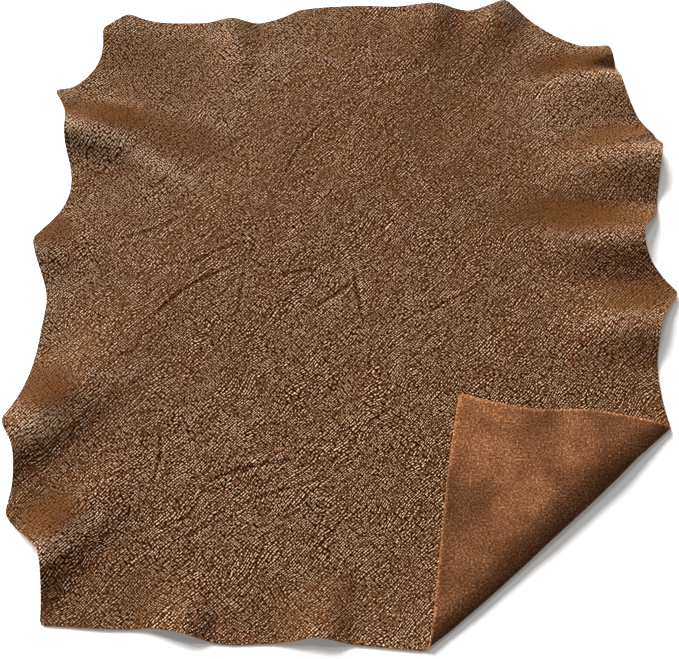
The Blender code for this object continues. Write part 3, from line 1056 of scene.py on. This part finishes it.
nap_shade = add(
    tree,
    "ShaderNodeVectorMath",
    {"operation": "SCALE"},
    {0: nap_colour.outputs[0], "Scale": rim_shade.outputs[0]},
)
nap = add(
    tree,
    "ShaderNodeBump",
    {},
    {"Height": tufts.outputs[0], "Distance": NAP_RELIEF, "Strength": 1.0},
)
tree.links.new(nap_shade.outputs[0], shader.inputs["Base Color"])
tree.links.new(nap.outputs[0], shader.inputs["Normal"])
shader.inputs["Roughness"].default_value = 0.9
shader.inputs["Specular IOR Level"].default_value = 0.15
shader.inputs["Sheen Weight"].default_value = 0.15
shader.inputs["Sheen Roughness"].default_value = 0.5
shader.inputs["Sheen Tint"].default_value = linear("#b07c50")
sheet_mesh.materials.append(suede)

# Cut edge of the hide, raw fibres where the knife went through. The eye sees a thin pale
# line round the turned corner. The fibre ends are too fine to show, and are drawn in
# bundles as coarse as the edge is thick.
BUNDLE_MM = 2.4
FRAY_RELIEF = 0.0004
edge = bpy.data.materials.new("cut_leather_edge")
edge.use_nodes = True
tree = edge.node_tree
shader = tree.nodes["Principled BSDF"]
edge_place = add(tree, "ShaderNodeTexCoord").outputs["Object"]
fibre_ends = add(
    tree,
    "ShaderNodeTexNoise",
    {},
    {"Vector": edge_place, "Scale": 1000 / BUNDLE_MM, "Detail": 2.0, "Roughness": 0.7},
)
edge_colour = add(tree, "ShaderNodeValToRGB", {}, {"Fac": fibre_ends.outputs[0]})
edge_colour.color_ramp.elements[0].position = 0.35
edge_colour.color_ramp.elements[0].color = linear("#6a4326")
edge_colour.color_ramp.elements[1].position = 0.65
edge_colour.color_ramp.elements[1].color = linear("#a9794d")
frayed = add(
    tree,
    "ShaderNodeBump",
    {},
    {"Height": fibre_ends.outputs[0], "Distance": FRAY_RELIEF, "Strength": 1.0},
)
tree.links.new(edge_colour.outputs[0], shader.inputs["Base Color"])
tree.links.new(frayed.outputs[0], shader.inputs["Normal"])
shader.inputs["Roughness"].default_value = 0.9
shader.inputs["Specular IOR Level"].default_value = 0.2
sheet_mesh.materials.append(edge)

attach(hide, "root")
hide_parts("hide")


# Floor. A plain sheet of opal acrylic that gives off a faint painted glow of its own, with no lamp
# below it, so that the shadows on it stay pale. It is wide enough to fill the view from every side.
PAINTED_FLOOR_GLOW = 0.22
FLOOR_SIZE = 12.0
FLOOR_DROP = 0.0003

bpy.ops.object.select_all(action="DESELECT")
bpy.ops.mesh.primitive_plane_add(size=FLOOR_SIZE, location=(0.0, 0.0, -FLOOR_DROP))
floor = bpy.context.object
floor.name = "floor"

# Opal acrylic, matt on top. The eye sees an even white with no grain or reflection, and its faint glow
# is painted light.
opal = bpy.data.materials.new("matt_opal_acrylic")
opal.use_nodes = True
shader = opal.node_tree.nodes["Principled BSDF"]
shader.inputs["Base Color"].default_value = linear("#f6f5f3")
shader.inputs["Roughness"].default_value = 0.9
shader.inputs["Emission Color"].default_value = linear("#f6f5f3")
shader.inputs["Emission Strength"].default_value = PAINTED_FLOOR_GLOW
floor.data.materials.append(opal)


# Light. A wide, low key from behind on the left shapes the ripples, a soft box overhead
# puts the gloss on the grain, and a dim white room fills the rest.
KEY_AZIMUTH = math.radians(32)
KEY_ELEVATION = math.radians(25)
KEY_SPREAD = math.radians(50)
KEY_STRENGTH = 12.1
BOX_SIZE = 0.5
BOX_DISTANCE = 2.2
BOX_ELEVATION = math.radians(79)
BOX_WATTS = 9.5
ROOM_STRENGTH = 0.04


def light_from(name, kind, azimuth, elevation, distance):
    """Add a light that shines on the hide from behind it, turned left by azimuth."""
    light = bpy.data.objects.new(name, bpy.data.lights.new(name, kind))
    bpy.context.collection.objects.link(light)
    source = Vector(
        (
            -math.sin(azimuth) * math.cos(elevation),
            math.cos(azimuth) * math.cos(elevation),
            math.sin(elevation),
        )
    )
    light.location = distance * source
    light.rotation_euler = source.to_track_quat("Z", "Y").to_euler()
    return light


key = light_from("key", "SUN", KEY_AZIMUTH, KEY_ELEVATION, BOX_DISTANCE)
key.data.energy = KEY_STRENGTH
key.data.angle = KEY_SPREAD
# The soft box alone makes the gloss, because the key's would lie as haze on the grain.
key.visible_glossy = False
box = light_from("soft_box", "AREA", 0.0, BOX_ELEVATION, BOX_DISTANCE)
box.data.shape = "SQUARE"
box.data.size = BOX_SIZE
box.data.energy = BOX_WATTS
room = bpy.data.worlds.new("white_room")
room.use_nodes = True
room.node_tree.nodes["Background"].inputs["Strength"].default_value = ROOM_STRENGTH
room.node_tree.nodes["Background"].inputs["Color"].default_value = (1.0, 1.0, 1.0, 1.0)
bpy.context.scene.world = room
bpy.context.scene.view_settings.view_transform = "Standard"
